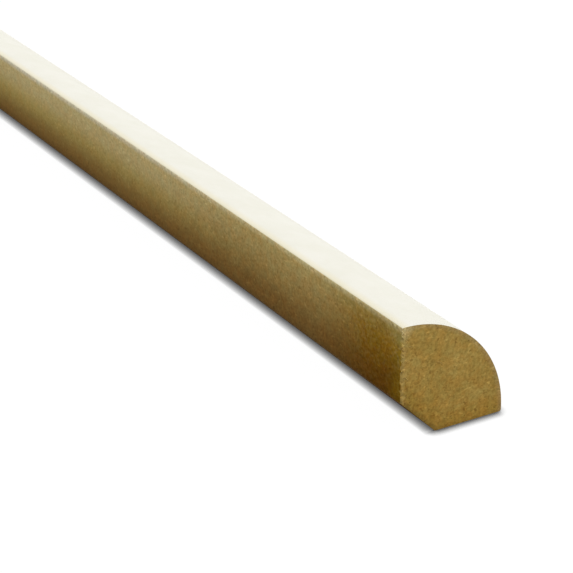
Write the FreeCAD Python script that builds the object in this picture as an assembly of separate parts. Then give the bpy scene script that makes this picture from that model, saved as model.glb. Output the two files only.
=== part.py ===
"""Quarter round moulding: one sawn length of fibreboard trim, lying on its floor face.

The section is a quarter round with a narrow square lip at each end of the curve. The hidden back
corner, which would sit in the angle between wall and floor, is cut away by a 45 degree chamfer.

Frame: origin at the middle of the floor plane under the piece, +X along the length, +Y towards
the wall, +Z up. The curve faces -Y and up.
"""

import os

import FreeCAD
import Part

# Driving dimensions, in millimetres
LEG = 18.0  # depth out from the wall, and height above the floor
LENGTH = 2400.0  # stock length between the two square saw cuts
LIP = 0.5  # flat left square at the top and at the toe of the curve
BACK_CHAMFER = 6.2  # cut off the back corner, measured along each leg
ARRIS_RADIUS = 0.3  # easing of the four long corners

# Places that follow from them: y across the section, z up it
WALL_Y = LEG / 2
TOE_Y = WALL_Y - LEG
TOP_Z = LEG
CURVE_RADIUS = LEG - LIP
CURVE_CENTRE_Y = WALL_Y - LIP
CURVE_CENTRE_Z = LIP
START_X = -LENGTH / 2

NODE = "quarter_round_moulding"


def at(y, z):
    """A point of the section, on the plane of the first saw cut."""
    return FreeCAD.Vector(START_X, y, z)


def curve_edge():
    """The quarter circle from the toe lip up to the top lip."""
    half_way = CURVE_RADIUS * 0.5**0.5
    toe_end = at(TOE_Y, CURVE_CENTRE_Z)
    middle = at(CURVE_CENTRE_Y - half_way, CURVE_CENTRE_Z + half_way)
    top_end = at(CURVE_CENTRE_Y, TOP_Z)
    return Part.Arc(toe_end, middle, top_end).toShape()


def section_corners():
    """The four corners that are eased, as (y, z), in order round the section."""
    return {
        "toe": (TOE_Y, 0.0),
        "top": (WALL_Y, TOP_Z),
        "chamfer_top": (WALL_Y, BACK_CHAMFER),
        "chamfer_foot": (WALL_Y - BACK_CHAMFER, 0.0),
    }


def section_face():
    """The moulding's outline, closed and filled, with its corners still sharp."""
    corner = {name: at(*place) for name, place in section_corners().items()}
    curve = curve_edge()
    toe_end = at(TOE_Y, CURVE_CENTRE_Z)
    top_end = at(CURVE_CENTRE_Y, TOP_Z)
    toe_lip = Part.makeLine(corner["toe"], toe_end)
    top_lip = Part.makeLine(top_end, corner["top"])
    wall_line = Part.makeLine(corner["top"], corner["chamfer_top"])
    chamfer_line = Part.makeLine(corner["chamfer_top"], corner["chamfer_foot"])
    floor_line = Part.makeLine(corner["chamfer_foot"], corner["toe"])
    outline = Part.Wire([toe_lip, curve, top_lip, wall_line, chamfer_line, floor_line])
    return Part.Face(outline)


def long_edges_at_corners(bar):
    """The bar's long edges that run through the section's four corners."""
    places = [at(*place) for place in section_corners().values()]
    found = []
    for edge in bar.Edges:
        ends = [vertex.Point for vertex in edge.Vertexes]
        if any(end.isEqual(place, 1e-6) for place in places for end in ends):
            if abs(ends[0].x - ends[-1].x) > LENGTH / 2:
                found.append(edge)
    return found


def moulding():
    """The section run out to the stock length, with its long corners eased."""
    bar = section_face().extrude(FreeCAD.Vector(LENGTH, 0, 0))
    return bar.makeFillet(ARRIS_RADIUS, long_edges_at_corners(bar))


def main():
    os.makedirs("parts", exist_ok=True)
    solid = moulding()
    solid.exportStep(f"parts/{NODE}.step")
    box = solid.BoundBox
    print(f"{NODE}: {box.XLength:.1f} x {box.YLength:.2f} x {box.ZLength:.2f} mm")
    print(f"section {solid.Volume / LENGTH:.2f} mm2, {len(solid.Faces)} faces, valid {solid.isValid()}")


main()
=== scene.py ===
# %% [markdown]
# # A quarter round moulding
#
# The object is one sawn length of fibreboard trim. Its rounded face is primed a warm white, and its
# flat faces and sawn ends are bare brown board. The CAD model already has its section and its length,
# so this lesson loads that model as a fixed frame and builds the finished piece over it.

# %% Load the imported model
import math

import bpy
import numpy as np
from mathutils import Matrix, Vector


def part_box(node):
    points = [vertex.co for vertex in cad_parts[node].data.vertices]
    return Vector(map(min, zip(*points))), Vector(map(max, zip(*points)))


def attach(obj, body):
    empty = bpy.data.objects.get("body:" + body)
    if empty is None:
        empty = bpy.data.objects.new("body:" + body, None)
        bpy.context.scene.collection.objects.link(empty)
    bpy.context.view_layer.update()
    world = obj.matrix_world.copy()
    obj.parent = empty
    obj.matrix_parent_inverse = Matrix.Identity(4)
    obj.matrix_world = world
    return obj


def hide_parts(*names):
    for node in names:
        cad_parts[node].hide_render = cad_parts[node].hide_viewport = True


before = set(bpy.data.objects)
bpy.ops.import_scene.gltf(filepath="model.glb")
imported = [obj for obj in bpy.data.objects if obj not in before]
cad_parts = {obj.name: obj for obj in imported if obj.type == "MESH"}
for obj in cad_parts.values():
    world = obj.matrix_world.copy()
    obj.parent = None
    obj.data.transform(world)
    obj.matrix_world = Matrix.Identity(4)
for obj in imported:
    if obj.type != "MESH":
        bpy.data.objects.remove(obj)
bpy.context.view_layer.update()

# %% [markdown]
# ## Sizes
#
# The length and the leg are read from the CAD node, so they can't drift from it. A box doesn't show the
# small sizes of the section, so those are written here in millimetres: the square lip at each end of the
# curve, the chamfer that relieves the back corner, and the easing of the corners.

# %% Sizes of the moulding
MM = 0.001
NODE = "quarter_round_moulding"
low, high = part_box(NODE)
LENGTH = high.x - low.x
LEG = high.z - low.z
LIP = 0.5 * MM
BACK_CHAMFER = 6.2 * MM
ARRIS_RADIUS = 0.3 * MM
print(f"length {LENGTH / MM:.0f} mm, leg {LEG / MM:.1f} mm, chamfer {BACK_CHAMFER / MM:.1f} mm")

# %% [markdown]
# ## Helpers for node trees
#
# Materials and Geometry Nodes are both trees of nodes, and they share many kinds of node. One helper adds
# a node and fills its inputs, with plain values or with other nodes' sockets. The others name the sums
# that come up often, so that a rule reads as one line and not as ten.


# %% Adding nodes
def add_node(tree, kind, inputs=None, **settings):
    """Adds a node, gives it its settings, and fills its inputs with values or with other sockets."""
    made = tree.nodes.new(kind)
    for name, value in settings.items():
        setattr(made, name, value)
    for key, value in (inputs or {}).items():
        if isinstance(value, bpy.types.NodeSocket):
            tree.links.new(value, made.inputs[key])
        else:
            made.inputs[key].default_value = value
    return made


def calc(tree, operation, *values):
    """One step of arithmetic on numbers or sockets."""
    return add_node(tree, "ShaderNodeMath", dict(enumerate(values)), operation=operation).outputs[0]


def times(tree, first, *others):
    """The product of two or more numbers or sockets."""
    product = first
    for other in others:
        product = calc(tree, "MULTIPLY", product, other)
    return product


def diagonal(tree, first, second):
    """The length of the diagonal over two sides at a right angle."""
    return calc(tree, "SQRT", calc(tree, "MULTIPLY_ADD", first, first, times(tree, second, second)))


def ramp(tree, value, start, end, before=0.0, after=1.0):
    """A soft step, from one number before the start to another after the end."""
    inputs = {"Value": value, "From Min": start, "From Max": end, "To Min": before, "To Max": after}
    return add_node(tree, "ShaderNodeMapRange", inputs, interpolation_type="SMOOTHSTEP").outputs[0]


def spread(tree, value, width, before=0.0, after=1.0):
    """A soft step about one half, which is where noise is centred. A narrow one gives more contrast."""
    return ramp(tree, value, 0.5 - width / 2, 0.5 + width / 2, before, after)


def point(tree, x, y, z):
    """A place or direction made of three numbers or sockets."""
    return add_node(tree, "ShaderNodeCombineXYZ", {0: x, 1: y, 2: z}).outputs[0]


def axes_of(tree, place):
    """The x, y and z of a place."""
    return tuple(add_node(tree, "ShaderNodeSeparateXYZ", {0: place}).outputs)


print("helpers ready: add_node, calc, times, diagonal, ramp, spread, point, axes_of")


# %% [markdown]
# ## Colours
#
# Colours are easier to judge in the 0 to 255 values of a screen, but shaders add and multiply light, so
# they need linear values. One helper turns the first into the second. Two more mix one colour into
# another and tint it, and every shade of the board is made that way from a few base colours.


# %% Screen colours, mixes and tints
def screen(red, green, blue):
    """A screen colour as the linear colour that a shader expects, by the sRGB standard's curve."""
    shares = [channel / 255 for channel in (red, green, blue)]
    linear = [share / 12.92 if share <= 0.04045 else ((share + 0.055) / 1.055) ** 2.4 for share in shares]
    return (*linear, 1.0)


def blend(tree, share, first, second, mode="MIX"):
    """Goes from the first colour to the second as far as the share says."""
    inputs = {0: share, 6: first, 7: second}
    return add_node(tree, "ShaderNodeMix", inputs, data_type="RGBA", blend_type=mode).outputs[2]


def tint(tree, share, colour, parts):
    """Multiplies a colour's red, green and blue by those of another, as far as the share says."""
    return blend(tree, share, colour, parts, "MULTIPLY")


PRIMER_WHITE = screen(245, 243, 231)
PRIMER_MIST = screen(239, 224, 169)
YELLOW_MIST = screen(240, 219, 127)
BOARD_CORE = screen(174, 143, 73)
BOARD_SKIN = screen(163, 128, 56)
BOARD_PALE = screen(195, 168, 101)
DEEP_BOARD_AND_SHADE = screen(136, 103, 52)
PIT_BROWN = screen(104, 70, 20)
print("board core in linear light:", [round(part, 3) for part in BOARD_CORE[:3]])

# %% [markdown]
# ## Bare fibreboard
#
# Fibreboard is wood ground to fibres and pressed flat with resin. It has no grain: it looks like a felt
# of short strands, with dark specks of bark and a few pale splinters. A picture of real board could be
# wrapped round the piece, but it would break at the corners and repeat along 2.4 m. Here the felt is a
# solid pattern on Object coordinates, so it runs through the corners as it does in the real board.


# %% The felt of fibres
def noise(tree, place, size, detail=3.0, roughness=0.6, stretch=(1, 1, 1), shift=(0, 0, 0)):
    """Soft noise with lumps about as large as the size, drawn out along the axes stretched below 1."""
    inputs = {"Vector": place, "Scale": stretch, "Location": shift}
    moved = add_node(tree, "ShaderNodeMapping", inputs).outputs[0]
    inputs = {"Vector": moved, "Scale": 1 / size, "Detail": detail, "Roughness": roughness}
    return add_node(tree, "ShaderNodeTexNoise", inputs).outputs[0]


STRAND = 0.8 * MM
FLUFF = 0.48 * MM
STRAND_STRETCH = 0.4
STRAND_SHARE = 0.4
FLECK_EDGE = 0.07


def felt(tree, place):
    """Height of the felt, from 0 to 1: strands along the board, strands across it, and fine fluff."""
    along = noise(tree, place, STRAND, detail=5.0, stretch=(STRAND_STRETCH, 1, 1))
    across = noise(tree, place, STRAND, detail=5.0, stretch=(1, STRAND_STRETCH, 1))
    fluff = noise(tree, place, FLUFF, roughness=0.65)
    strands = calc(tree, "MAXIMUM", along, across)
    return calc(tree, "MULTIPLY_ADD", strands, STRAND_SHARE, times(tree, fluff, 1 - STRAND_SHARE))


def flecks(tree, place, size, height, stretch=(1, 1, 1), shift=(0, 0, 0)):
    """A mask of scattered ragged flecks: the tops of a noise that rise above a height."""
    hills = noise(tree, place, size, detail=2.0, roughness=0.5, stretch=stretch, shift=shift)
    return ramp(tree, hills, height, height + FLECK_EDGE)


print(f"felt ready, with strands of {STRAND / MM:.1f} mm")

# %% [markdown]
# ## Dressing a board face
#
# Both bare finishes, sawn and machined, start from a tone that changes slowly over the face, and both
# need the same felt on top. They could be two separate materials from the start, but then they would
# drift apart. One function dresses both, so that they always look like the same board.

# %% The bare board's surface
BOARD_ROUGHNESS = 0.9
BOARD_SPECULAR = 0.05
FELT_HOLLOW = (0.74, 0.71, 0.65, 1.0)
FELT_CREST = (1.21, 1.23, 1.27, 1.0)
WARM_PATCH = (1.04, 0.97, 0.90, 1.0)
OLIVE_PATCH = (0.96, 1.02, 1.06, 1.0)
BARK_SPECK = (0.74, 0.70, 0.64, 1.0)
PALE_SPLINTER = (1.26, 1.28, 1.34, 1.0)
PATCH_SIZE = 1.6 * MM
PATCH_CONTRAST = 0.36
FLECK_SIZE = 0.55 * MM
FLECK_HEIGHT = 0.62


def new_material(name):
    """A new material, with its tree, its shader and its Object coordinates."""
    material = bpy.data.materials.new(name)
    material.use_nodes = True
    tree = material.node_tree
    place = add_node(tree, "ShaderNodeTexCoord").outputs["Object"]
    return material, tree, tree.nodes["Principled BSDF"], place


def dress_board(tree, shader, place, tone, softness, relief, veil=None):
    """Lays felt, warm patches, specks and splinters over a tone, and gives the shader colour and bump.

    A veil of spray, where there is one, brings the plain tone back.
    """
    height = felt(tree, place)
    shade = spread(tree, height, softness)
    colour = tint(tree, 1.0, tone, blend(tree, shade, FELT_HOLLOW, FELT_CREST))
    patches = spread(tree, noise(tree, place, PATCH_SIZE), PATCH_CONTRAST)
    colour = tint(tree, 1.0, colour, blend(tree, patches, WARM_PATCH, OLIVE_PATCH))
    specks = flecks(tree, place, FLECK_SIZE, FLECK_HEIGHT, (0.7, 0.8, 1), (0.3, 0.1, 0.2))
    splinters = flecks(tree, place, FLECK_SIZE, FLECK_HEIGHT, (0.5, 0.5, 1), (0.7, 0.5, 0.1))
    colour = tint(tree, specks, colour, BARK_SPECK)
    colour = tint(tree, splinters, colour, PALE_SPLINTER)
    if veil is not None:
        colour = blend(tree, veil, colour, tone)
    bump = add_node(tree, "ShaderNodeBump", {"Strength": 1.0, "Distance": relief, "Height": height})
    tree.links.new(bump.outputs[0], shader.inputs["Normal"])
    tree.links.new(colour, shader.inputs["Base Color"])
    shader.inputs["Roughness"].default_value = BOARD_ROUGHNESS
    shader.inputs["Specular IOR Level"].default_value = BOARD_SPECULAR


print("board dressing ready")

# %% [markdown]
# ## The sawn ends
#
# A cut across the board has more than one colour: a paler core, and a darker, warmer skin by the floor
# and the chamfer. They could be painted, but paint blurs when the camera comes close. Every shade here
# lies at some distance from an edge of the section, so the shader first measures those distances.

# %% Distances on a sawn end
sawn_board, sawn_tree, sawn_shader, sawn_place = new_material("sawn_board")
_, end_y, end_z = axes_of(sawn_tree, sawn_place)
from_wall = calc(sawn_tree, "SUBTRACT", high.y, end_y)
past_chamfer = calc(sawn_tree, "SUBTRACT", calc(sawn_tree, "ADD", from_wall, end_z), BACK_CHAMFER)
from_chamfer = times(sawn_tree, past_chamfer, math.sqrt(0.5))
from_skin = calc(sawn_tree, "MINIMUM", end_z, from_chamfer)
from_centre_y = calc(sawn_tree, "SUBTRACT", from_wall, LIP)
from_centre_z = calc(sawn_tree, "SUBTRACT", end_z, LIP)
from_curve = calc(sawn_tree, "SUBTRACT", LEG - LIP, diagonal(sawn_tree, from_centre_y, from_centre_z))
from_top_corner = diagonal(sawn_tree, from_wall, calc(sawn_tree, "SUBTRACT", LEG, end_z))
print("distances on the cut: wall, chamfer, skin, curve and top corner")

# %% Skin and clouds
SKIN_DEPTH = 5.5 * MM
RAGGED = 1.5 * MM
DULL_CLOUD = (0.95, 0.93, 0.88, 1.0)
BRIGHT_CLOUD = (1.06, 1.08, 1.14, 1.0)
wander = noise(sawn_tree, sawn_place, 2.5 * MM, detail=4.0)
ragged = spread(sawn_tree, wander, 0.6, -RAGGED, RAGGED)
skin = ramp(sawn_tree, calc(sawn_tree, "ADD", from_skin, ragged), 0.0, SKIN_DEPTH, 1.0, 0.0)
sawn_tone = blend(sawn_tree, skin, BOARD_CORE, BOARD_SKIN)
billows = noise(sawn_tree, sawn_place, 4.5 * MM, detail=2.0, shift=(0.1, 0.8, 0.3))
clouds = spread(sawn_tree, billows, 0.3)
sawn_tone = tint(sawn_tree, 1.0, sawn_tone, blend(sawn_tree, clouds, DULL_CLOUD, BRIGHT_CLOUD))
print(f"skin fades over {SKIN_DEPTH / MM:.1f} mm")

# %% [markdown]
# ## The rim of the cut
#
# The edges of a cut get dirty first. Along the chamfer, and less along the floor, the cut is darker and
# a little blue: partly grime, and partly painted shade from the groove and the floor beside it. Where
# primer has soaked in by the curve the board is duller, and right at the edge a trace of white shows. A
# mask painted along the rim would have to follow every edge by hand, and the distances above already do.

# %% Grime and painted shade, and soaked primer
GRIME_AND_SHADE = (0.58, 0.59, 0.64, 1.0)
GRIME_AND_SHADE_WIDTH = 1.0 * MM
FLOOR_GRIME_AND_SHADE_WIDTH = 0.8 * MM
FLOOR_GRIME_AND_SHADE_SHARE = 0.45
SOAKED = (0.88, 0.87, 0.86, 1.0)
SOAKED_WIDTH = 1.6 * MM
SOAKED_SHARE = 0.8
WHITE_RIM_WIDTH = 1.0 * MM
WHITE_RIM_SHARE = 0.06
# Painted shade and grime: the cut is darker along the chamfer, and less so along the floor.
grime_and_shade_at_chamfer = ramp(sawn_tree, from_chamfer, 0.0, GRIME_AND_SHADE_WIDTH, 1.0, 0.0)
grime_and_shade_at_floor = ramp(sawn_tree, end_z, 0.0, FLOOR_GRIME_AND_SHADE_WIDTH, FLOOR_GRIME_AND_SHADE_SHARE, 0.0)
grime_and_shade = calc(sawn_tree, "MAXIMUM", grime_and_shade_at_chamfer, grime_and_shade_at_floor)
sawn_tone = tint(sawn_tree, grime_and_shade, sawn_tone, GRIME_AND_SHADE)
ragged_rim = calc(sawn_tree, "MULTIPLY_ADD", ragged, 0.3, from_curve)
soaked = ramp(sawn_tree, ragged_rim, 0.2 * MM, SOAKED_WIDTH, SOAKED_SHARE, 0.0)
low_on_rim = ramp(sawn_tree, end_z, 9 * MM, 16 * MM, 1.0, 0.2)
sawn_tone = tint(sawn_tree, times(sawn_tree, soaked, low_on_rim), sawn_tone, SOAKED)
white_rim = ramp(sawn_tree, from_curve, 0.0, WHITE_RIM_WIDTH, WHITE_RIM_SHARE, 0.0)
sawn_tone = blend(sawn_tree, white_rim, sawn_tone, PRIMER_WHITE)
print("rim ready: grime below, soaked primer by the curve")

# %% [markdown]
# ## The torn corner
#
# Along the wall-side corner the saw broke the board out and left it furry: a pale strip about a
# millimetre wide, with small dark pits beside it. At its top a breath of overspray has settled on the
# cut. These marks are hardly larger than the faces of the mesh, so they are colour, and noise moves the
# strip's edge about, since a straight line would look painted. Chips and loose fibres are real shapes,
# and they are modelled further down.

# %% A furry strip, its pits and the overspray
FRAY = 0.3 * MM
FURRY_WIDTH = 1.1 * MM
FURRY_SHARE = 0.58
BREATH_REACH = 2.6 * MM
BREATH_SHARE = 0.55
PIT_LINE = 0.95 * MM
PIT_BAND = 0.35 * MM
PIT_SHARE = 0.3
fray = spread(sawn_tree, noise(sawn_tree, sawn_place, 0.6 * MM), 0.4, -FRAY, FRAY)
frayed = calc(sawn_tree, "ADD", from_wall, fray)
furry = ramp(sawn_tree, frayed, 0.2 * MM, FURRY_WIDTH, FURRY_SHARE, 0.0)
furry = times(sawn_tree, furry, ramp(sawn_tree, from_wall, 0.0, 0.4 * MM, 0.5, 1.0))
sawn_tone = blend(sawn_tree, furry, sawn_tone, BOARD_PALE)
breath = ramp(sawn_tree, from_top_corner, 0.2 * MM, BREATH_REACH, BREATH_SHARE, 0.0)
sawn_tone = blend(sawn_tree, breath, sawn_tone, PRIMER_MIST)
off_pit_line = calc(sawn_tree, "ABSOLUTE", calc(sawn_tree, "SUBTRACT", frayed, PIT_LINE))
near_pit_line = ramp(sawn_tree, off_pit_line, 0.05 * MM, PIT_BAND, PIT_SHARE, 0.0)
pits = flecks(sawn_tree, sawn_place, 0.7 * MM, 0.5, shift=(0.4, 0.2, 0.6))
sawn_tone = blend(sawn_tree, times(sawn_tree, pits, near_pit_line), sawn_tone, PIT_BROWN)
dress_board(sawn_tree, sawn_shader, sawn_place, sawn_tone, softness=0.34, relief=0.07 * MM)
print("material:", sawn_board.name)

# %% [markdown]
# ## The machined faces, overspray, and painted light and shade
#
# The primer is sprayed on the curve, and its mist drifts over the edges onto the bare faces: the board is
# palest next to the primer, and deepens to raw brown a centimetre away. That fall is partly real
# overspray and partly painted light: the face is painted lighter high up, and painted shade darkens it
# towards its foot. A gradient along one axis would break at the corners, so the sweep below stores how
# far each point lies from the primed edge, and the shader fades the mist and the painted shade by that
# distance. Thin mist lets the brown through and looks yellow. Along the length the mist comes and goes
# in long waves, and it is thinner near the ends; the paler face away from the ends is partly a painted
# sheen.

# %% Overspray, painted light and painted shade on the machined faces
BARE_DISTANCE = "bare_distance"
DRIFT = 0.7 * MM
RAW_AND_SHADE_DEPTH = 9.3 * MM
MIST_AND_LIGHT_REACH = 12 * MM
MIST_AND_LIGHT_SHARE = 0.47
WAVE_LENGTH = 90 * MM
machined_board, wall_tree, wall_shader, wall_place = new_material("machined_board")
distance = add_node(wall_tree, "ShaderNodeAttribute", attribute_name=BARE_DISTANCE).outputs["Fac"]
wall_x, _, _ = axes_of(wall_tree, wall_place)
from_end = calc(wall_tree, "SUBTRACT", LENGTH / 2, calc(wall_tree, "ABSOLUTE", wall_x))
wobble = noise(wall_tree, wall_place, 5 * MM, detail=4.0)
drift = spread(wall_tree, wobble, 0.6, -DRIFT, DRIFT)
drifted = calc(wall_tree, "ADD", distance, drift)
# Painted light and shade, partly real overspray: paler high on the wall face, darker towards its foot.
tone_and_shade_inputs = {"Value": drifted, "From Min": 0.5 * MM, "From Max": RAW_AND_SHADE_DEPTH}
tone_and_shade_fade = add_node(wall_tree, "ShaderNodeMapRange", tone_and_shade_inputs).outputs[0]
wall_tone = blend(wall_tree, tone_and_shade_fade, BOARD_PALE, DEEP_BOARD_AND_SHADE)
waves = noise(wall_tree, wall_place, WAVE_LENGTH, detail=1.0, stretch=(1, 0.2, 0.2))
away_from_end = ramp(wall_tree, from_end, 35 * MM, 85 * MM, 0.15, 1.0)
# Painted sheen, partly real overspray: the mist is thicker away from the ends, so the face looks paler
# there.
mist_and_sheen_thickness = times(wall_tree, away_from_end, spread(wall_tree, waves, 0.4, 0.85, 1.1))
mist_and_light = ramp(wall_tree, distance, 1 * MM, MIST_AND_LIGHT_REACH, MIST_AND_LIGHT_SHARE, 0.0)
thinning = ramp(wall_tree, distance, 2.5 * MM, 7 * MM)
mist_colour = blend(wall_tree, thinning, PRIMER_MIST, YELLOW_MIST)
wall_tone = blend(wall_tree, times(wall_tree, mist_and_light, mist_and_sheen_thickness), wall_tone, mist_colour)
print(f"mist fades over {MIST_AND_LIGHT_REACH / MM:.0f} mm")

# %% [markdown]
# ## Darker ends
#
# The last two centimetres before each cut are darker and warmer, most of all low on the face, and right
# at the cut the face is torn and paler again. One plain gradient would look like a painted band, so the
# same drift that moves the mist also moves this edge, and a fine noise breaks it up among the fibres.

# %% Darker board and torn board by the cut
DARKER_END_MIST = (0.69, 0.65, 0.41, 1.0)
DARKER_END_BOARD = (0.65, 0.48, 0.08, 1.0)
TORN_HIGH = (1.15, 1.33, 1.90, 1.0)
TORN_LOW = (1.40, 1.75, 1.30, 1.0)
DARKER_END_LENGTH = 26 * MM
TORN_LENGTH = 4.5 * MM
moved_end = calc(wall_tree, "MULTIPLY_ADD", drift, 2.0, from_end)
end_mottle = noise(wall_tree, wall_place, 0.7 * MM, shift=(0.2, 0.6, 0.4))
# Darker and warmer towards each cut, most of all low on the face, broken up by a fine noise.
deepened = ramp(wall_tree, moved_end, 4 * MM, DARKER_END_LENGTH, 1.0, 0.0)
deepened = times(wall_tree, deepened, spread(wall_tree, end_mottle, 0.3, 0.75, 1.2))
below_mist = ramp(wall_tree, distance, 0.2 * MM, 4.2 * MM)
end_darkening = blend(wall_tree, below_mist, DARKER_END_MIST, DARKER_END_BOARD)
wall_tone = tint(wall_tree, deepened, wall_tone, end_darkening)
by_the_cut = ramp(wall_tree, calc(wall_tree, "ADD", from_end, drift), 0.5 * MM, TORN_LENGTH, 1.0, 0.0)
high_on_face = ramp(wall_tree, distance, 4.5 * MM, 8 * MM, 1.0, 0.0)
high_on_face = times(wall_tree, high_on_face, ramp(wall_tree, distance, 0.3 * MM, 2.5 * MM))
low_on_face = ramp(wall_tree, distance, 6 * MM, 10 * MM)
wall_tone = tint(wall_tree, times(wall_tree, by_the_cut, high_on_face), wall_tone, TORN_HIGH)
wall_tone = tint(wall_tree, times(wall_tree, by_the_cut, low_on_face), wall_tone, TORN_LOW)
print(f"ends browned over {DARKER_END_LENGTH / MM:.0f} mm")

# %% [markdown]
# ## Edges of the bare faces
#
# Spray always builds up on an edge, so the arris next to the primer carries a thin coat, whiter where the
# mist and the painted sheen are thicker. The edge at the chamfer is a little darker than the face: that
# is painted shade at the foot of the wall face. Both follow the stored distance, which needs no edge to
# be picked by hand. The mist lies on top of the fibres, so it also veils the felt where it is thick.

# %% Coated edge, and painted shade at the chamfer edge
COAT_WIDTH = 1.1 * MM
COAT_SHARE = 0.55
VEIL_SHARE = 0.4
FOOT_SHADE_TINT = (0.78, 0.78, 0.80, 1.0)
coat = ramp(wall_tree, distance, 0.0, COAT_WIDTH, COAT_SHARE, 0.0)
coat = times(wall_tree, coat, calc(wall_tree, "MULTIPLY_ADD", mist_and_sheen_thickness, 0.5, 0.75))
coat_colour = blend(wall_tree, times(wall_tree, mist_and_sheen_thickness, 0.7), PRIMER_MIST, PRIMER_WHITE)
wall_tone = blend(wall_tree, coat, wall_tone, coat_colour)
# Painted shade: the wall face is darker at its foot, by the chamfer.
at_foot_shade = ramp(wall_tree, distance, 10 * MM, 11.6 * MM)
wall_tone = tint(wall_tree, at_foot_shade, wall_tone, FOOT_SHADE_TINT)
veil = times(wall_tree, mist_and_sheen_thickness, VEIL_SHARE)
dress_board(wall_tree, wall_shader, wall_place, wall_tone, softness=0.38, relief=0.04 * MM, veil=veil)
print("material:", machined_board.name)

# %% [markdown]
# ## Primer
#
# Factory primer is a thin matt film. It follows the board closely, so it is nearly flat, with a faint
# orange peel from the spray and hardly any change of tone. A mesh fine enough for the peel would be huge,
# and a bump of a few thousandths of a millimetre is enough: more would look like brushed paint. The film
# is thinnest along its two edges, by the wall and by the floor, where the board warms its white.

# %% The primer film
PRIMER_DULL = screen(243, 241, 228)
PRIMER_CLEAN = screen(247, 245, 234)
PEEL_HEIGHT = 0.008 * MM
THIN_WIDTH = 1.8 * MM
THIN_SHARE = 0.42
primer, primer_tree, primer_shader, primer_place = new_material("primer")
tone_drift = spread(primer_tree, noise(primer_tree, primer_place, 6 * MM, detail=5.0), 0.4)
primer_colour = blend(primer_tree, tone_drift, PRIMER_DULL, PRIMER_CLEAN)
_, primer_y, primer_z = axes_of(primer_tree, primer_place)
from_edge = calc(primer_tree, "MINIMUM", calc(primer_tree, "SUBTRACT", high.y, primer_y), primer_z)
thin_film = ramp(primer_tree, from_edge, 0.0, THIN_WIDTH, THIN_SHARE, 0.0)
primer_colour = blend(primer_tree, thin_film, primer_colour, PRIMER_MIST)
primer_tree.links.new(primer_colour, primer_shader.inputs["Base Color"])
peel = noise(primer_tree, primer_place, 0.7 * MM, detail=2.0)
peel_inputs = {"Strength": 1.0, "Distance": PEEL_HEIGHT, "Height": peel}
peel_bump = add_node(primer_tree, "ShaderNodeBump", peel_inputs).outputs[0]
primer_tree.links.new(peel_bump, primer_shader.inputs["Normal"])
primer_shader.inputs["Roughness"].default_value = 0.6
primer_shader.inputs["Specular IOR Level"].default_value = 0.35
print("material:", primer.name)

# %% [markdown]
# ## The section, as a rule
#
# A moulding is one section run along a line. Its outline could be typed in point by point, but a Geometry
# Nodes sweep keeps the section's real sizes as inputs that can be changed later. The outline starts as a
# ring of points, and a rule by index puts each one in its place: the first ones on the quarter circle,
# the last four on the corners.

# %% Start the sweep tree
sweep = bpy.data.node_groups.new("moulding_sweep", "GeometryNodeTree")
SWEEP_INPUTS = {
    "Length": ("NodeSocketFloat", LENGTH),
    "Leg": ("NodeSocketFloat", LEG),
    "Lip": ("NodeSocketFloat", LIP),
    "Back Chamfer": ("NodeSocketFloat", BACK_CHAMFER),
    "Arris Radius": ("NodeSocketFloat", ARRIS_RADIUS),
    "Curve Points": ("NodeSocketInt", 72),
    "Flat Step": ("NodeSocketFloat", 0.2 * MM),
    "Rings": ("NodeSocketInt", 36),
    "Spans": ("NodeSocketInt", 60),
    "Saw Relief": ("NodeSocketFloat", 0.06 * MM),
    "Chip Depth": ("NodeSocketFloat", 0.3 * MM),
    "Chip Width": ("NodeSocketFloat", 0.6 * MM),
    "Sawn Board": ("NodeSocketMaterial", sawn_board),
    "Machined Board": ("NodeSocketMaterial", machined_board),
    "Primer": ("NodeSocketMaterial", primer),
}


def open_tree(tree, sockets):
    """Gives a tree its named inputs and its output, and returns the sockets and their identifiers."""
    tree.interface.new_socket("Geometry", in_out="OUTPUT", socket_type="NodeSocketGeometry")
    identifiers = {}
    for name, (kind, _) in sockets.items():
        identifiers[name] = tree.interface.new_socket(name, in_out="INPUT", socket_type=kind).identifier
    entry = tree.nodes.new("NodeGroupInput")
    return {name: entry.outputs[name] for name in sockets}, identifiers


sizes, sweep_ids = open_tree(sweep, SWEEP_INPUTS)
print("the sweep has", len(sweep_ids), "inputs")


# %% Places on the section
# A profile that is swept along +X lands with its x along -Y and its y along -Z, so both change sign.
def on_profile(y, z):
    """A place on the section, y towards the wall and z up, as a place on the swept profile."""
    return point(sweep, times(sweep, y, -1.0), times(sweep, z, -1.0), 0.0)


index = add_node(sweep, "GeometryNodeInputIndex").outputs[0]
half_leg = times(sweep, sizes["Leg"], 0.5)
curve_radius = calc(sweep, "SUBTRACT", sizes["Leg"], sizes["Lip"])
centre_y = calc(sweep, "SUBTRACT", half_leg, sizes["Lip"])
last_curve_point = calc(sweep, "SUBTRACT", sizes["Curve Points"], 1)
turn = times(sweep, calc(sweep, "DIVIDE", index, last_curve_point), math.pi / 2)
out_from_centre = times(sweep, curve_radius, calc(sweep, "SINE", turn))
up_from_centre = times(sweep, curve_radius, calc(sweep, "COSINE", turn))
curve_y = calc(sweep, "SUBTRACT", centre_y, out_from_centre)
curve_z = calc(sweep, "ADD", sizes["Lip"], up_from_centre)
toe_y = times(sweep, half_leg, -1.0)
chamfer_foot_y = calc(sweep, "SUBTRACT", half_leg, sizes["Back Chamfer"])
corner_places = (
    on_profile(toe_y, 0.0),
    on_profile(chamfer_foot_y, 0.0),
    on_profile(half_leg, sizes["Back Chamfer"]),
    on_profile(half_leg, sizes["Leg"]),
)
print("corners: toe, chamfer foot, chamfer top and wall top")

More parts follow.
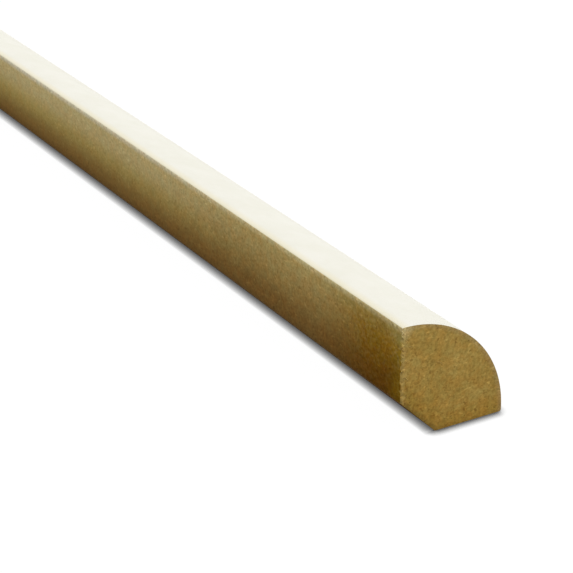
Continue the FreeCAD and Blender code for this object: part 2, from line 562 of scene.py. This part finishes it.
# %% The section's outline
corner = add_node(sweep, "GeometryNodeIndexSwitch", data_type="VECTOR")
while len(corner.index_switch_items) < len(corner_places):
    corner.index_switch_items.new()
sweep.links.new(calc(sweep, "SUBTRACT", index, sizes["Curve Points"]), corner.inputs["Index"])
for number, place in enumerate(corner_places):
    sweep.links.new(place, corner.inputs[number + 1])
on_curve = calc(sweep, "LESS_THAN", index, sizes["Curve Points"])
switch_inputs = {"Switch": on_curve, "False": corner.outputs[0], "True": on_profile(curve_y, curve_z)}
outline_place = add_node(sweep, "GeometryNodeSwitch", switch_inputs, input_type="VECTOR").outputs[0]
point_count = calc(sweep, "ADD", sizes["Curve Points"], len(corner_places))
ring = add_node(sweep, "GeometryNodeCurvePrimitiveCircle", {"Resolution": point_count}).outputs[0]
outline_inputs = {"Geometry": ring, "Position": outline_place}
outline = add_node(sweep, "GeometryNodeSetPosition", outline_inputs).outputs[0]
print("the outline has", len(corner_places), "corners besides the curve")

# %% [markdown]
# ## Eased corners and even steps
#
# Sharp corners never survive machining and handling. A Bevel modifier would round the sawn edges too,
# which are crisp on the real piece, so Fillet Curve eases only the four corners of the section. The long
# flats then get points at even steps, because the sawn ends need a fine mesh for their relief.

# %% Ease and divide the outline
easing = times(sweep, calc(sweep, "SUBTRACT", 1.0, on_curve), sizes["Arris Radius"])
easing_inputs = {"Curve": outline, "Count": 4, "Radius": easing}
eased = add_node(sweep, "GeometryNodeFilletCurve", easing_inputs, mode="POLY").outputs[0]
here = add_node(sweep, "GeometryNodeInputPosition").outputs[0]
next_point = add_node(sweep, "GeometryNodeOffsetPointInCurve", {"Offset": 1}).outputs["Point Index"]
next_inputs = {"Index": next_point, "Value": here}
there = add_node(sweep, "GeometryNodeFieldAtIndex", next_inputs, data_type="FLOAT_VECTOR").outputs[0]
gap = add_node(sweep, "ShaderNodeVectorMath", {0: here, 1: there}, operation="DISTANCE").outputs["Value"]
cuts = calc(sweep, "FLOOR", calc(sweep, "DIVIDE", gap, sizes["Flat Step"]))
divided = add_node(sweep, "GeometryNodeSubdivideCurve", {"Curve": eased, "Cuts": cuts}).outputs[0]
print("corners eased, flats divided")

# %% [markdown]
# ## What each point remembers
#
# A shader can't know where a point lies on the section, unless the mesh tells it. Stored attributes do
# that: each point of the outline keeps how far round the section it is, and how far it is from primer.
# Both run along the sweep with the point. The first is for the bake map further down, and the board's
# shader reads the second.


# %% Measure the outline
def keep(tree, geometry, name, value):
    """Stores a number on the points under a name that survives the sweep."""
    inputs = {"Geometry": geometry, "Name": name, "Value": value}
    kept = add_node(tree, "GeometryNodeStoreNamedAttribute", inputs, data_type="FLOAT", domain="POINT")
    return kept.outputs[0]


GIRTH = "girth"
girth = add_node(sweep, "GeometryNodeSplineParameter").outputs["Length"]
whole = add_node(sweep, "GeometryNodeSplineLength").outputs["Length"]
toe_mark = calc(sweep, "MULTIPLY_ADD", curve_radius, math.pi / 2, sizes["Lip"])
top_mark = calc(sweep, "SUBTRACT", whole, sizes["Lip"])
past_toe = calc(sweep, "SUBTRACT", girth, toe_mark)
before_top = calc(sweep, "SUBTRACT", top_mark, girth)
bare = calc(sweep, "MAXIMUM", calc(sweep, "MINIMUM", past_toe, before_top), 0.0)
profile = keep(sweep, keep(sweep, divided, GIRTH, girth), BARE_DISTANCE, bare)
print("the outline keeps", GIRTH, "and", BARE_DISTANCE)

# %% [markdown]
# ## The sweep, from tip to tip
#
# Capping a sweep leaves one huge flat polygon at each end, with nothing to carve. Here the section grows
# from nothing over a few dozen short steps, runs the whole length, and shrinks again, like a pencil with
# two tips. Pressing both tips flat makes the sawn ends out of fine concentric rings.

# %% The path and its scale
GROWN = "grown"
RING_STEP = 1.0 * MM
CORE_SHARE = 0.42
step_number = add_node(sweep, "GeometryNodeInputIndex").outputs[0]
past_tip = calc(sweep, "SUBTRACT", step_number, sizes["Rings"])
into_near_tip = calc(sweep, "MINIMUM", past_tip, 0.0)
into_far_tip = calc(sweep, "MAXIMUM", calc(sweep, "SUBTRACT", past_tip, sizes["Spans"]), 0.0)
tip_steps = calc(sweep, "ADD", into_near_tip, into_far_tip)
span_share = calc(sweep, "DIVIDE", past_tip, sizes["Spans"])
clamped_share = add_node(sweep, "ShaderNodeClamp", {"Value": span_share}).outputs[0]
along_x = times(sweep, calc(sweep, "SUBTRACT", clamped_share, 0.5), sizes["Length"])
path_x = calc(sweep, "MULTIPLY_ADD", tip_steps, RING_STEP, along_x)
shrunk = calc(sweep, "DIVIDE", calc(sweep, "ABSOLUTE", tip_steps), sizes["Rings"])
grown = calc(sweep, "SUBTRACT", 1.0, shrunk)
step_count = calc(sweep, "ADD", calc(sweep, "MULTIPLY_ADD", sizes["Rings"], 2.0, sizes["Spans"]), 1.0)
straight = add_node(sweep, "GeometryNodeCurvePrimitiveLine", {"End": (1.0, 0.0, 0.0)}).outputs[0]
station_inputs = {"Curve": straight, "Count": step_count}
stations = add_node(sweep, "GeometryNodeResampleCurve", station_inputs).outputs[0]
core_y = times(sweep, sizes["Leg"], 0.5 - CORE_SHARE)
core_z = times(sweep, sizes["Leg"], CORE_SHARE)
path_inputs = {"Geometry": stations, "Position": point(sweep, path_x, core_y, core_z)}
path = keep(sweep, add_node(sweep, "GeometryNodeSetPosition", path_inputs).outputs[0], GROWN, grown)
print(f"tips of {RING_STEP / MM:.0f} mm steps, pressed flat in the next cell")


# %% Sweep and press the tips flat
def recall(tree, name):
    """A number that was stored on the points."""
    recalled = add_node(tree, "GeometryNodeInputNamedAttribute", {"Name": name}, data_type="FLOAT")
    return recalled.outputs[0]


MERGE_DISTANCE = 0.002 * MM
core_inputs = {"Geometry": profile, "Offset": point(sweep, core_y, core_z, 0.0)}
about_core = add_node(sweep, "GeometryNodeSetPosition", core_inputs).outputs[0]
swept_inputs = {"Curve": path, "Profile Curve": about_core, "Scale": recall(sweep, GROWN)}
swept = add_node(sweep, "GeometryNodeCurveToMesh", swept_inputs).outputs[0]
spot_x, spot_y, spot_z = axes_of(sweep, add_node(sweep, "GeometryNodeInputPosition").outputs[0])
side = calc(sweep, "SIGN", spot_x)
half_length = times(sweep, sizes["Length"], 0.5)
flat_x = times(sweep, calc(sweep, "MINIMUM", calc(sweep, "ABSOLUTE", spot_x), half_length), side)
pressed_inputs = {"Geometry": swept, "Position": point(sweep, flat_x, spot_y, spot_z)}
pressed = add_node(sweep, "GeometryNodeSetPosition", pressed_inputs).outputs[0]
closed_inputs = {"Geometry": pressed, "Distance": MERGE_DISTANCE}
closed = add_node(sweep, "GeometryNodeMergeByDistance", closed_inputs).outputs[0]
print("sweep built")

# %% [markdown]
# ## A sawn end is not quite flat
#
# A saw leaves fibreboard faintly furry and uneven, and where its teeth came out, on the wall side, it
# chips the corner. A bump alone would look flat from the side, so noise moves the ring points in: by a
# few hundredths of a millimetre inside the rim, and by up to three tenths at the chips. Edges with a
# clear turn are then marked sharp, which keeps the cut crisp while the curve stays smooth.

# %% Relief and chips
RIM_START = 0.93
SAW_MARK = 1.1 * MM
CHIP_SPACING = 0.45 * MM
CHIP_LOW, CHIP_HIGH = 0.48, 0.62
HAIR = 0.01 * MM
saw_noise = add_node(sweep, "ShaderNodeTexNoise", {"Scale": 1 / SAW_MARK, "Detail": 3.0}).outputs[0]
inside = ramp(sweep, recall(sweep, GROWN), 1.0, RIM_START)
relief = times(sweep, saw_noise, inside, sizes["Saw Relief"])
chip_noise = add_node(sweep, "ShaderNodeTexNoise", {"Scale": 1 / CHIP_SPACING, "Detail": 2.0}).outputs[0]
to_corner = calc(sweep, "SUBTRACT", half_leg, spot_y)
by_corner = ramp(sweep, to_corner, 0.0, sizes["Chip Width"], 1.0, 0.0)
behind_cut = calc(sweep, "SUBTRACT", half_length, calc(sweep, "ABSOLUTE", spot_x))
on_cut_plane = calc(sweep, "LESS_THAN", behind_cut, HAIR)
chipped = ramp(sweep, chip_noise, CHIP_LOW, CHIP_HIGH)
chips = times(sweep, chipped, by_corner, on_cut_plane, sizes["Chip Depth"])
depth = calc(sweep, "ADD", relief, chips)
carve = point(sweep, times(sweep, depth, side, -1.0), 0.0, 0.0)
carved = add_node(sweep, "GeometryNodeSetPosition", {"Geometry": closed, "Offset": carve}).outputs[0]
print("sawn ends carved, wall-side corners chipped")

# %% Smooth curve, crisp edges
CRISP_TURN = math.radians(32)
edge_turn = add_node(sweep, "GeometryNodeInputMeshEdgeAngle").outputs["Unsigned Angle"]
crisp = calc(sweep, "GREATER_THAN", edge_turn, CRISP_TURN)
smooth = add_node(sweep, "GeometryNodeSetShadeSmooth", {"Geometry": carved}).outputs[0]
crisp_inputs = {"Geometry": smooth, "Selection": crisp, "Shade Smooth": False}
shaded = add_node(sweep, "GeometryNodeSetShadeSmooth", crisp_inputs, domain="EDGE").outputs[0]
print("shading set")

# %% [markdown]
# ## Three finishes on one piece
#
# The real moulding is one piece of board, and only its surface changes. Faces could be picked by hand,
# but a new size would undo that. The stored numbers already tell them apart: a face of the tips is sawn,
# a face at no distance from primer is primed, and all others are machined.


# %% Give each face its finish
def face_value(tree, name):
    """A stored number, averaged over each face."""
    inputs = {0: recall(tree, name)}
    averaged = add_node(tree, "GeometryNodeFieldOnDomain", inputs, domain="FACE", data_type="FLOAT")
    return averaged.outputs[0]


FULLY_GROWN = 0.999
is_sawn = calc(sweep, "LESS_THAN", face_value(sweep, GROWN), FULLY_GROWN)
is_primed = calc(sweep, "LESS_THAN", face_value(sweep, BARE_DISTANCE), HAIR)
finished = add_node(sweep, "GeometryNodeRealizeInstances", {"Geometry": shaded}).outputs[0]
for finish, where in (("Machined Board", True), ("Primer", is_primed), ("Sawn Board", is_sawn)):
    inputs = {"Geometry": finished, "Selection": where, "Material": sizes[finish]}
    finished = add_node(sweep, "GeometryNodeSetMaterial", inputs).outputs[0]
sweep.links.new(finished, sweep.nodes.new("NodeGroupOutput").inputs[0])
print("three finishes given by rule")

# %% [markdown]
# ## From tree to mesh
#
# A modifier would rebuild the moulding each time something changes, but a finished part should be plain.
# The tree is evaluated once, on a helper object that is then thrown away, and the mesh it made becomes
# the piece. It rides on the CAD model's root and takes the place of the CAD node.


# %% Turn the sweep into a plain mesh
def grow(name, tree, identifiers, sockets, surface=None):
    """Evaluates a tree once, on a copy of a surface or on nothing, and returns a plain new object."""
    start = surface.copy() if surface else bpy.data.meshes.new(name + "_seed")
    seed = bpy.data.objects.new(name + "_seed", start)
    bpy.context.scene.collection.objects.link(seed)
    modifier = seed.modifiers.new(tree.name, "NODES")
    modifier.node_group = tree
    for label, (_, value) in sockets.items():
        if value is not None:
            modifier[identifiers[label]] = value
    bpy.context.view_layer.update()
    depsgraph = bpy.context.evaluated_depsgraph_get()
    grown_mesh = bpy.data.meshes.new_from_object(seed.evaluated_get(depsgraph), depsgraph=depsgraph)
    seed.modifiers.remove(modifier)
    bpy.data.objects.remove(seed)
    bpy.data.meshes.remove(start)
    grown_mesh.name = name
    piece = bpy.data.objects.new(name, grown_mesh)
    bpy.context.scene.collection.objects.link(piece)
    return piece


moulding = grow("moulding", sweep, sweep_ids, SWEEP_INPUTS)
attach(moulding, "root")
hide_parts(NODE)
print("moulding:", len(moulding.data.vertices), "points and", len(moulding.data.polygons), "faces")

# %% [markdown]
# ## Torn fibres
#
# A saw doesn't cut every fibre. Some are pulled out and lie on the cut face as pale wisps, most of them
# along the wall-side corner. Hairs placed by hand would be slow to make and to change, so points are
# scattered on the sawn faces by a density rule, and one small bent fibre is copied to each of them.

# %% Start the scatter tree
loose_fibre, _, fibre_shader, _ = new_material("loose_fibre")
fibre_shader.inputs["Base Color"].default_value = screen(212, 184, 112)
fibre_shader.inputs["Roughness"].default_value = BOARD_ROUGHNESS
fibre_shader.inputs["Specular IOR Level"].default_value = BOARD_SPECULAR
scatter = bpy.data.node_groups.new("fibre_scatter", "GeometryNodeTree")
SCATTER_INPUTS = {
    "Surface": ("NodeSocketGeometry", None),
    "Seed": ("NodeSocketInt", 11),
    "Fibres Per Area": ("NodeSocketFloat", 0.1 / MM**2),
    "Extra At Corner": ("NodeSocketFloat", 3.0 / MM**2),
    "Corner Width": ("NodeSocketFloat", 0.9 * MM),
    "Shortest": ("NodeSocketFloat", 0.35 * MM),
    "Longest": ("NodeSocketFloat", 1.7 * MM),
    "Fibre": ("NodeSocketMaterial", loose_fibre),
}
options, scatter_ids = open_tree(scatter, SCATTER_INPUTS)
print("material:", loose_fibre.name)

# %% One fibre
# The fibre is one unit long, so that the scale of each copy is its length.
FIBRE_RADIUS = 0.032
TAPER = 1.5
bend_inputs = {"Resolution": 4, "Start": (0, 0, 0.02), "Middle": (0.5, 0.25, 0.09), "End": (1, 0, 0.02)}
bend = add_node(scatter, "GeometryNodeCurveQuadraticBezier", bend_inputs).outputs[0]
along_fibre = add_node(scatter, "GeometryNodeSplineParameter").outputs["Factor"]
from_middle = calc(scatter, "ABSOLUTE", calc(scatter, "SUBTRACT", along_fibre, 0.5))
taper = calc(scatter, "MULTIPLY_ADD", from_middle, -TAPER, 1.0)
ring_inputs = {"Resolution": 3, "Radius": FIBRE_RADIUS}
thin_ring = add_node(scatter, "GeometryNodeCurvePrimitiveCircle", ring_inputs).outputs[0]
fibre_inputs = {"Curve": bend, "Profile Curve": thin_ring, "Scale": taper, "Fill Caps": True}
fibre_shape = add_node(scatter, "GeometryNodeCurveToMesh", fibre_inputs).outputs[0]
print("one fibre, tapered at both tips")

# %% Where the fibres lie
INSIDE_RIM = 0.8
BARE_TOP = 1.0 * MM
FULL_BELOW = 1.5 * MM
_, scatter_y, scatter_z = axes_of(scatter, add_node(scatter, "GeometryNodeInputPosition").outputs[0])
to_wall = calc(scatter, "SUBTRACT", high.y, scatter_y)
below_top = ramp(scatter, calc(scatter, "SUBTRACT", high.z, scatter_z), BARE_TOP, FULL_BELOW)
at_corner = ramp(scatter, to_wall, 0.0, options["Corner Width"], options["Extra At Corner"], 0.0)
inside_rim = calc(scatter, "LESS_THAN", recall(scatter, GROWN), INSIDE_RIM)
everywhere = times(scatter, inside_rim, options["Fibres Per Area"])
density = times(scatter, calc(scatter, "ADD", everywhere, at_corner), below_top)
on_cut = calc(scatter, "LESS_THAN", face_value(scatter, GROWN), FULLY_GROWN)
spread_inputs = {"Mesh": options["Surface"], "Selection": on_cut}
spread_inputs.update({"Density": density, "Seed": options["Seed"]})
points = add_node(scatter, "GeometryNodeDistributePointsOnFaces", spread_inputs)
print("fibres are densest by the wall, with none at the top edge")

# %% [markdown]
# ## Laying the fibres down
#
# Each fibre lies nearly flat on the cut and points mostly away from the wall, as if folded back over the
# cut. Turning each one by hand would take long and look arranged, so random numbers give it a swing and
# a length, and most are short. They come from numbered throws, so the fibres lie the same on every run.


# %% Lay a copy on each point
def dice(throw, lowest, highest):
    """A random number for each fibre, from a numbered throw."""
    made = add_node(scatter, "FunctionNodeRandomValue", {"Seed": throw}, data_type="FLOAT")
    limits = [socket for socket in made.inputs if socket.type == "VALUE"]
    limits[0].default_value = lowest
    limits[1].default_value = highest
    return next(socket for socket in made.outputs if socket.type == "VALUE")


WIDEST_SWING = 1.3
swing = dice(1, -WIDEST_SWING, WIDEST_SWING)
mostly_short = calc(scatter, "POWER", dice(2, 0.0, 1.0), 3.0)
length_range = calc(scatter, "SUBTRACT", options["Longest"], options["Shortest"])
fibre_length = calc(scatter, "MULTIPLY_ADD", mostly_short, length_range, options["Shortest"])
away_from_wall = times(scatter, calc(scatter, "COSINE", swing), -1.0)
drag = point(scatter, 0.0, away_from_wall, calc(scatter, "SINE", swing))
align = "FunctionNodeAlignRotationToVector"
laid = add_node(scatter, align, {"Vector": drag}, axis="X").outputs[0]
facing_inputs = {"Rotation": laid, "Vector": points.outputs["Normal"]}
facing = add_node(scatter, align, facing_inputs, axis="Z", pivot_axis="X").outputs[0]
copy_inputs = {"Points": points.outputs["Points"], "Instance": fibre_shape}
copy_inputs.update({"Rotation": facing, "Scale": fibre_length})
copies = add_node(scatter, "GeometryNodeInstanceOnPoints", copy_inputs).outputs[0]
real_fibres = add_node(scatter, "GeometryNodeRealizeInstances", {"Geometry": copies}).outputs[0]
coloured_inputs = {"Geometry": real_fibres, "Material": options["Fibre"]}
coloured = add_node(scatter, "GeometryNodeSetMaterial", coloured_inputs).outputs[0]
scatter.links.new(coloured, scatter.nodes.new("NodeGroupOutput").inputs[0])
print("scatter built")

# %% Turn the scatter into a plain mesh
# The fibres don't need the numbers that they took over from the moulding's surface.
fibres = grow("torn_fibres", scatter, scatter_ids, SCATTER_INPUTS, moulding.data)
for name in (GIRTH, BARE_DISTANCE, GROWN):
    fibres.data.attributes.remove(fibres.data.attributes[name])
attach(fibres, "root")
print("torn fibres:", len(fibres.data.polygons), "faces")

# %% [markdown]
# ## A map for baking
#
# When the finished part is exported, its patterns are painted into one square picture. A stick 2.4 m long
# would fill only a thin line of that square, so its surface is laid out the way a joiner would stack it:
# cut into six lengths that lie side by side, unrolled, with the two sawn ends above them, drawn three
# times larger because they show the most detail. No material here reads this map.

# %% Read the mesh, corner by corner
mesh = moulding.data
corner_points = np.empty(len(mesh.loops), np.int32)
mesh.loops.foreach_get("vertex_index", corner_points)
first_corner = np.empty(len(mesh.polygons), np.int32)
mesh.polygons.foreach_get("loop_start", first_corner)
corners_in_face = np.empty(len(mesh.polygons), np.int32)
mesh.polygons.foreach_get("loop_total", corners_in_face)


def stored(name):
    """One of the numbers that the sweep kept on the points, read at every corner of every face."""
    values = np.empty(len(mesh.vertices), np.float32)
    mesh.attributes[name].data.foreach_get("value", values)
    return values[corner_points].astype(float)


def per_face(function, values):
    """One number for each face, such as its largest, repeated at its corners."""
    return np.repeat(function.reduceat(values, first_corner), corners_in_face)


places = np.empty(len(mesh.vertices) * 3, np.float32)
mesh.vertices.foreach_get("co", places)
x, y, z = places.reshape(-1, 3)[corner_points].astype(float).T
print(len(x), "face corners read")

# %% Unroll the section
# The last faces round the section run over its seam, so their far corners go one whole girth further.
flat_step = SWEEP_INPUTS["Flat Step"][1]
round_section = stored(GIRTH)
whole_girth = round_section.max() + flat_step
over_seam = per_face(np.maximum, round_section) - per_face(np.minimum, round_section) > whole_girth / 2
beyond_seam = over_seam & (round_section < whole_girth / 2)
round_section = np.where(beyond_seam, round_section + whole_girth, round_section)
print(f"girth {whole_girth / MM:.1f} mm")

# %% Stack the strips and set the ends above them
STRIPS = 6
END_ENLARGEMENT = 3.0
MAP_GAP = 4 * MM
strip_length = LENGTH / STRIPS
row_height = whole_girth + flat_step + MAP_GAP
face_x = per_face(np.add, x) / np.repeat(corners_in_face, corners_in_face)
strip = np.clip(np.floor((face_x + LENGTH / 2) / strip_length), 0, STRIPS - 1)
map_across = x + LENGTH / 2 - strip * strip_length
map_up = strip * row_height + round_section
sawn_face = per_face(np.minimum, stored(GROWN)) < FULLY_GROWN
second_end = LEG * END_ENLARGEMENT + MAP_GAP
end_across = np.where(x < 0, (y - low.y) * END_ENLARGEMENT, second_end + (high.y - y) * END_ENLARGEMENT)
map_across = np.where(sawn_face, end_across, map_across)
map_up = np.where(sawn_face, STRIPS * row_height + z * END_ENLARGEMENT, map_up)
map_side = max(map_across.max(), map_up.max()) + 2 * MAP_GAP
flat = (np.stack([map_across, map_up], axis=1) + MAP_GAP) / map_side
bake_map = mesh.uv_layers.new(name="OFBake")
bake_map.data.foreach_set("uv", flat.astype(np.float32).ravel())
print("the map fills", np.round(flat.max(axis=0), 2), "of a square of", round(map_side / MM), "mm")

# %% [markdown]
# ## The floor
#
# The moulding lies on paper so white that only the dark line of shadow at its foot shows. Lamps strong
# enough to make real paper pure white would also wash out the primer. So the paper glows by itself where
# the camera sees it, and to all other light it is plain grey paper. Ambient Occlusion measures how far
# the moulding closes in each spot of the floor, and dims the glow there, which makes the soft shadow.

# %% The floor's plane
FLOOR_HALF = 60.0
FLOOR_DROP = 0.02 * MM
floor_corners = [(a * FLOOR_HALF, b * FLOOR_HALF, 0) for a, b in ((-1, -1), (1, -1), (1, 1), (-1, 1))]
floor_mesh = bpy.data.meshes.new("floor")
floor_mesh.from_pydata(floor_corners, [], [(0, 1, 2, 3)])
floor = bpy.data.objects.new("floor", floor_mesh)
floor.location.z = low.z - FLOOR_DROP
bpy.context.scene.collection.objects.link(floor)
print("floor of", 2 * FLOOR_HALF, "m")

# %% [markdown]
# ## Two kinds of shadow
#
# Below the wall face the chamfer leaves a groove, which closes the floor in deeply over a short reach.
# Ahead of a sawn end there is no groove. The floor is less closed in there, so the shadow needs a longer
# reach and a narrower scale to look as deep. A mask that is 1 ahead of the ends moves both. Along the
# wall face the shadow also grows a little wider away from the ends, where less light comes in.

# %% Where the floor lies ahead of an end
paper = bpy.data.materials.new("white_paper")
paper.use_nodes = True
paper_tree = paper.node_tree
paper_tree.nodes.clear()
floor_place = add_node(paper_tree, "ShaderNodeTexCoord").outputs["Object"]
floor_x, floor_y, _ = axes_of(paper_tree, floor_place)
past_end = calc(paper_tree, "SUBTRACT", calc(paper_tree, "ABSOLUTE", floor_x), LENGTH / 2)
foot_y = high.y - BACK_CHAMFER
past_plane = ramp(paper_tree, past_end, -0.45 * MM, 0.15 * MM)
before_groove = ramp(paper_tree, floor_y, foot_y + 0.6 * MM, foot_y + 2.4 * MM, 1.0, 0.0)
before_toe = ramp(paper_tree, floor_y, low.y - 1.2 * MM, low.y + 1.0 * MM)
ahead = times(paper_tree, past_plane, before_groove, before_toe)
print("mask ready, from the chamfer's foot to the toe")


# %% The paper
def seen_directly(tree):
    """1 for rays from the camera, and for those that reach it by a mirror or through glass."""
    path_info = add_node(tree, "ShaderNodeLightPath")
    seen = calc(tree, "MAXIMUM", path_info.outputs["Is Camera Ray"], path_info.outputs["Is Glossy Ray"])
    return calc(tree, "MAXIMUM", seen, path_info.outputs["Is Transmission Ray"])


def foot_or_end(foot, end):
    """A number for the floor along the wall's foot, and another for the floor ahead of the ends."""
    return calc(paper_tree, "MULTIPLY_ADD", ahead, end - foot, foot)


FOOT_REACH = 1.42 * MM
MIDDLE_REACH = 1.75 * MM
END_REACH = 2.2 * MM
WIDEST_FROM_END = 150 * MM
WHITE_GLOW = 0.99
SHEEN = (0.04, 0.04, 0.04, 1.0)
PAPER_GREY = (0.5, 0.5, 0.5, 1.0)
reach_along = ramp(paper_tree, past_end, -WIDEST_FROM_END, 0.0, MIDDLE_REACH, FOOT_REACH)
reach = calc(paper_tree, "MULTIPLY_ADD", ahead, END_REACH - FOOT_REACH, reach_along)
occlusion = add_node(paper_tree, "ShaderNodeAmbientOcclusion", {"Distance": reach}, samples=16)
closed_in = foot_or_end(0.12, 0.49)
wide_open = foot_or_end(0.97, 0.94)
open_inputs = {"Value": occlusion.outputs["AO"], "From Min": closed_in, "From Max": wide_open}
openness = add_node(paper_tree, "ShaderNodeMapRange", open_inputs).outputs[0]
lightness = calc(paper_tree, "POWER", openness, foot_or_end(1.15, 1.25))
glow_inputs = {"Value": lightness, "To Min": foot_or_end(0.08, 0.025), "To Max": WHITE_GLOW}
glow_level = add_node(paper_tree, "ShaderNodeMapRange", glow_inputs).outputs[0]
glow = add_node(paper_tree, "ShaderNodeEmission", {"Color": (1, 1, 1, 1), "Strength": glow_level})
sheen = add_node(paper_tree, "ShaderNodeBsdfDiffuse", {"Color": SHEEN})
shown = add_node(paper_tree, "ShaderNodeAddShader", {0: glow.outputs[0], 1: sheen.outputs[0]})
grey_paper = add_node(paper_tree, "ShaderNodeBsdfDiffuse", {"Color": PAPER_GREY})
paper_inputs = {0: seen_directly(paper_tree), 1: grey_paper.outputs[0], 2: shown.outputs[0]}
paper_mix = add_node(paper_tree, "ShaderNodeMixShader", paper_inputs)
add_node(paper_tree, "ShaderNodeOutputMaterial", {0: paper_mix.outputs[0]})
floor_mesh.materials.append(paper)
print("material:", paper.name)

# %% [markdown]
# ## Light
#
# The studio is an even white room with one large soft lamp, above the near end and the primed side. The
# room is the world's light, dimmed for everything but the camera, which sees plain white. The lamp is a
# sun with a wide angle, as a big diffuser would be. Together they light a level card to about its own
# grey, so a colour that faces up renders about as written, and the wall face lies in soft shade.

# %% Room and lamp
SKY_LEVEL = 0.57
KEY_LEVEL = 0.45
KEY_WIDTH = math.radians(30)
TOWARDS_KEY = Vector((-0.35, -0.3, 0.88))
world = bpy.data.worlds.new("studio")
bpy.context.scene.world = world
world.use_nodes = True
world_tree = world.node_tree
world_tree.nodes.clear()
sky = add_node(world_tree, "ShaderNodeBackground", {"Color": (1, 1, 1, 1), "Strength": SKY_LEVEL})
white = add_node(world_tree, "ShaderNodeBackground", {"Color": (1, 1, 1, 1), "Strength": 1.0})
world_inputs = {0: seen_directly(world_tree), 1: sky.outputs[0], 2: white.outputs[0]}
world_mix = add_node(world_tree, "ShaderNodeMixShader", world_inputs)
add_node(world_tree, "ShaderNodeOutputWorld", {0: world_mix.outputs[0]})

key_lamp = bpy.data.lights.new("key", "SUN")
key_lamp.energy = KEY_LEVEL * math.pi
key_lamp.angle = KEY_WIDTH
key = bpy.data.objects.new("key", key_lamp)
bpy.context.scene.collection.objects.link(key)
key.rotation_mode = "QUATERNION"
key.rotation_quaternion = TOWARDS_KEY.to_track_quat("Z", "Y")
print("room at", SKY_LEVEL, "and lamp at", KEY_LEVEL)

# %% [markdown]
# ## Camera
#
# The photograph was taken from beyond the near end, on the wall's side and above it, through a fairly
# long lens. Placing a camera by eye never quite lines up, so its place, direction and lens were fitted to
# the section's corners and the long edges in the picture. The place is counted from the near corner of
# the moulding's box.

# %% Camera at the photograph's angle
FRAME_PIXELS = 573
FOCAL_PIXELS = 1824
FROM_NEAR_CORNER = Vector((-187.3, 129.2, 129.4)) * MM
ACROSS_ANGLE = math.radians(30.55)
DOWN_ANGLE = math.radians(24.83)
camera_data = bpy.data.cameras.new("camera")
camera_data.sensor_width = 36.0
camera_data.lens = camera_data.sensor_width * FOCAL_PIXELS / FRAME_PIXELS
camera_data.clip_start = 0.01
camera = bpy.data.objects.new("camera", camera_data)
bpy.context.scene.collection.objects.link(camera)
near_corner = Vector((low.x, high.y, low.z))
camera.location = near_corner + FROM_NEAR_CORNER
level = math.cos(DOWN_ANGLE)
sight = Vector((math.cos(ACROSS_ANGLE) * level, -math.sin(ACROSS_ANGLE) * level, -math.sin(DOWN_ANGLE)))
camera.rotation_mode = "QUATERNION"
camera.rotation_quaternion = sight.to_track_quat("-Z", "Y")
bpy.context.scene.camera = camera
bpy.context.scene.view_settings.view_transform = "Standard"
print("lens", round(camera_data.lens, 1), "mm")
